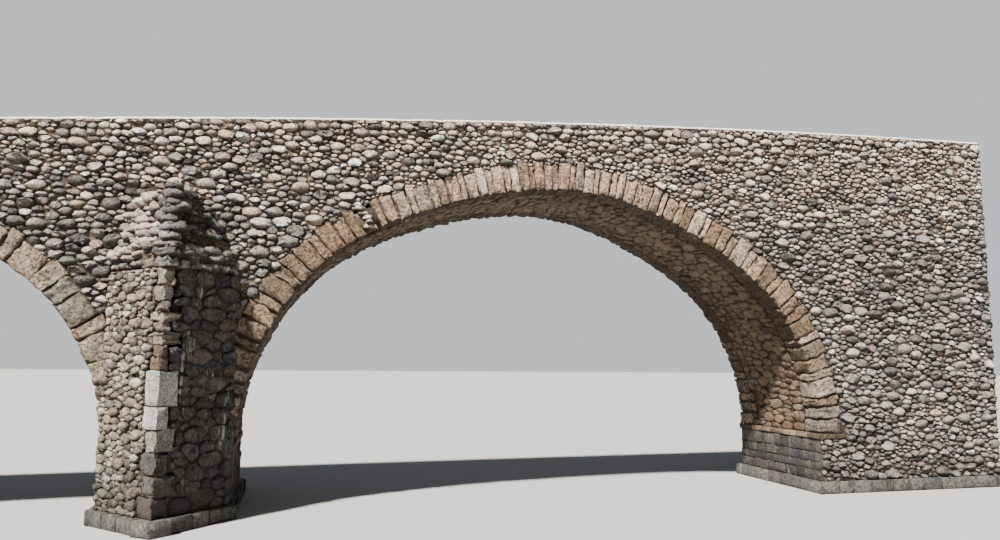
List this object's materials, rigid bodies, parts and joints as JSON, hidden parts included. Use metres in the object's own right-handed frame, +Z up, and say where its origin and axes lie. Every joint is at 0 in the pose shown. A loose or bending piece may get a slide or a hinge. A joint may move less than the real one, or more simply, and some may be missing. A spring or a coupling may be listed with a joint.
{
  "type": "stone arch bridge",
  "caption": "Old masonry bridge with a wide round-headed main arch, a smaller side arch, a river pier with pointed cutwaters, cobble walls and a sloping road between parapets.",
  "frame": {"origin": "middle of the underside of the river pier's footing", "axes": "+X along the bridge from the small arch towards the main arch, +Y from the front face, with the broken cutwater cap, to the back face, +Z up"},
  "size_m": [30.09, 5.7644, 8.11],
  "materials": {
    "footing_stone": "rough grey blocks",
    "pier_stone": "weathered squared rubble",
    "dressed_stone": "worn tan sandstone",
    "quoin_stone": "pale granite blocks",
    "ring_stone": "pitted tan and pinkish sandstone",
    "vault_rubble": "dark rough slabs",
    "cobble_wall": "rounded river cobbles in deep mortar joints",
    "cap_rubble": "broken rubble",
    "fill_rubble": "loose rubble and lime",
    "road_cobble": "worn cobbles",
    "capping_mortar": "pale lime mortar"
  },
  "bodies": {
    "root": {"pier_footing": "footing_stone", "left_footing": "footing_stone", "right_footing": "footing_stone", "pier": "pier_stone", "front_cutwater": "pier_stone", "back_cutwater": "pier_stone", "pier_impost": "dressed_stone", "left_impost": "dressed_stone", "right_impost": "dressed_stone", "front_hood": "dressed_stone", "back_hood": "dressed_stone", "front_quoins": "quoin_stone", "back_quoins": "quoin_stone", "main_ring_front": "ring_stone", "main_ring_back": "ring_stone", "left_ring_front": "ring_stone", "left_ring_back": "ring_stone", "main_vault": "vault_rubble", "left_vault": "vault_rubble", "left_abutment": "cobble_wall", "right_abutment": "cobble_wall", "spandrel_front_left": "cobble_wall", "spandrel_front_main": "cobble_wall", "spandrel_back_left": "cobble_wall", "spandrel_back_main": "cobble_wall", "left_end_wall": "cobble_wall", "right_end_wall": "cobble_wall", "parapet_front": "cobble_wall", "parapet_back": "cobble_wall", "front_cap": "cap_rubble", "back_cap": "cap_rubble", "road_fill": "fill_rubble", "road": "road_cobble", "capping_front": "capping_mortar", "capping_back": "capping_mortar"}
  },
  "joints": []
}
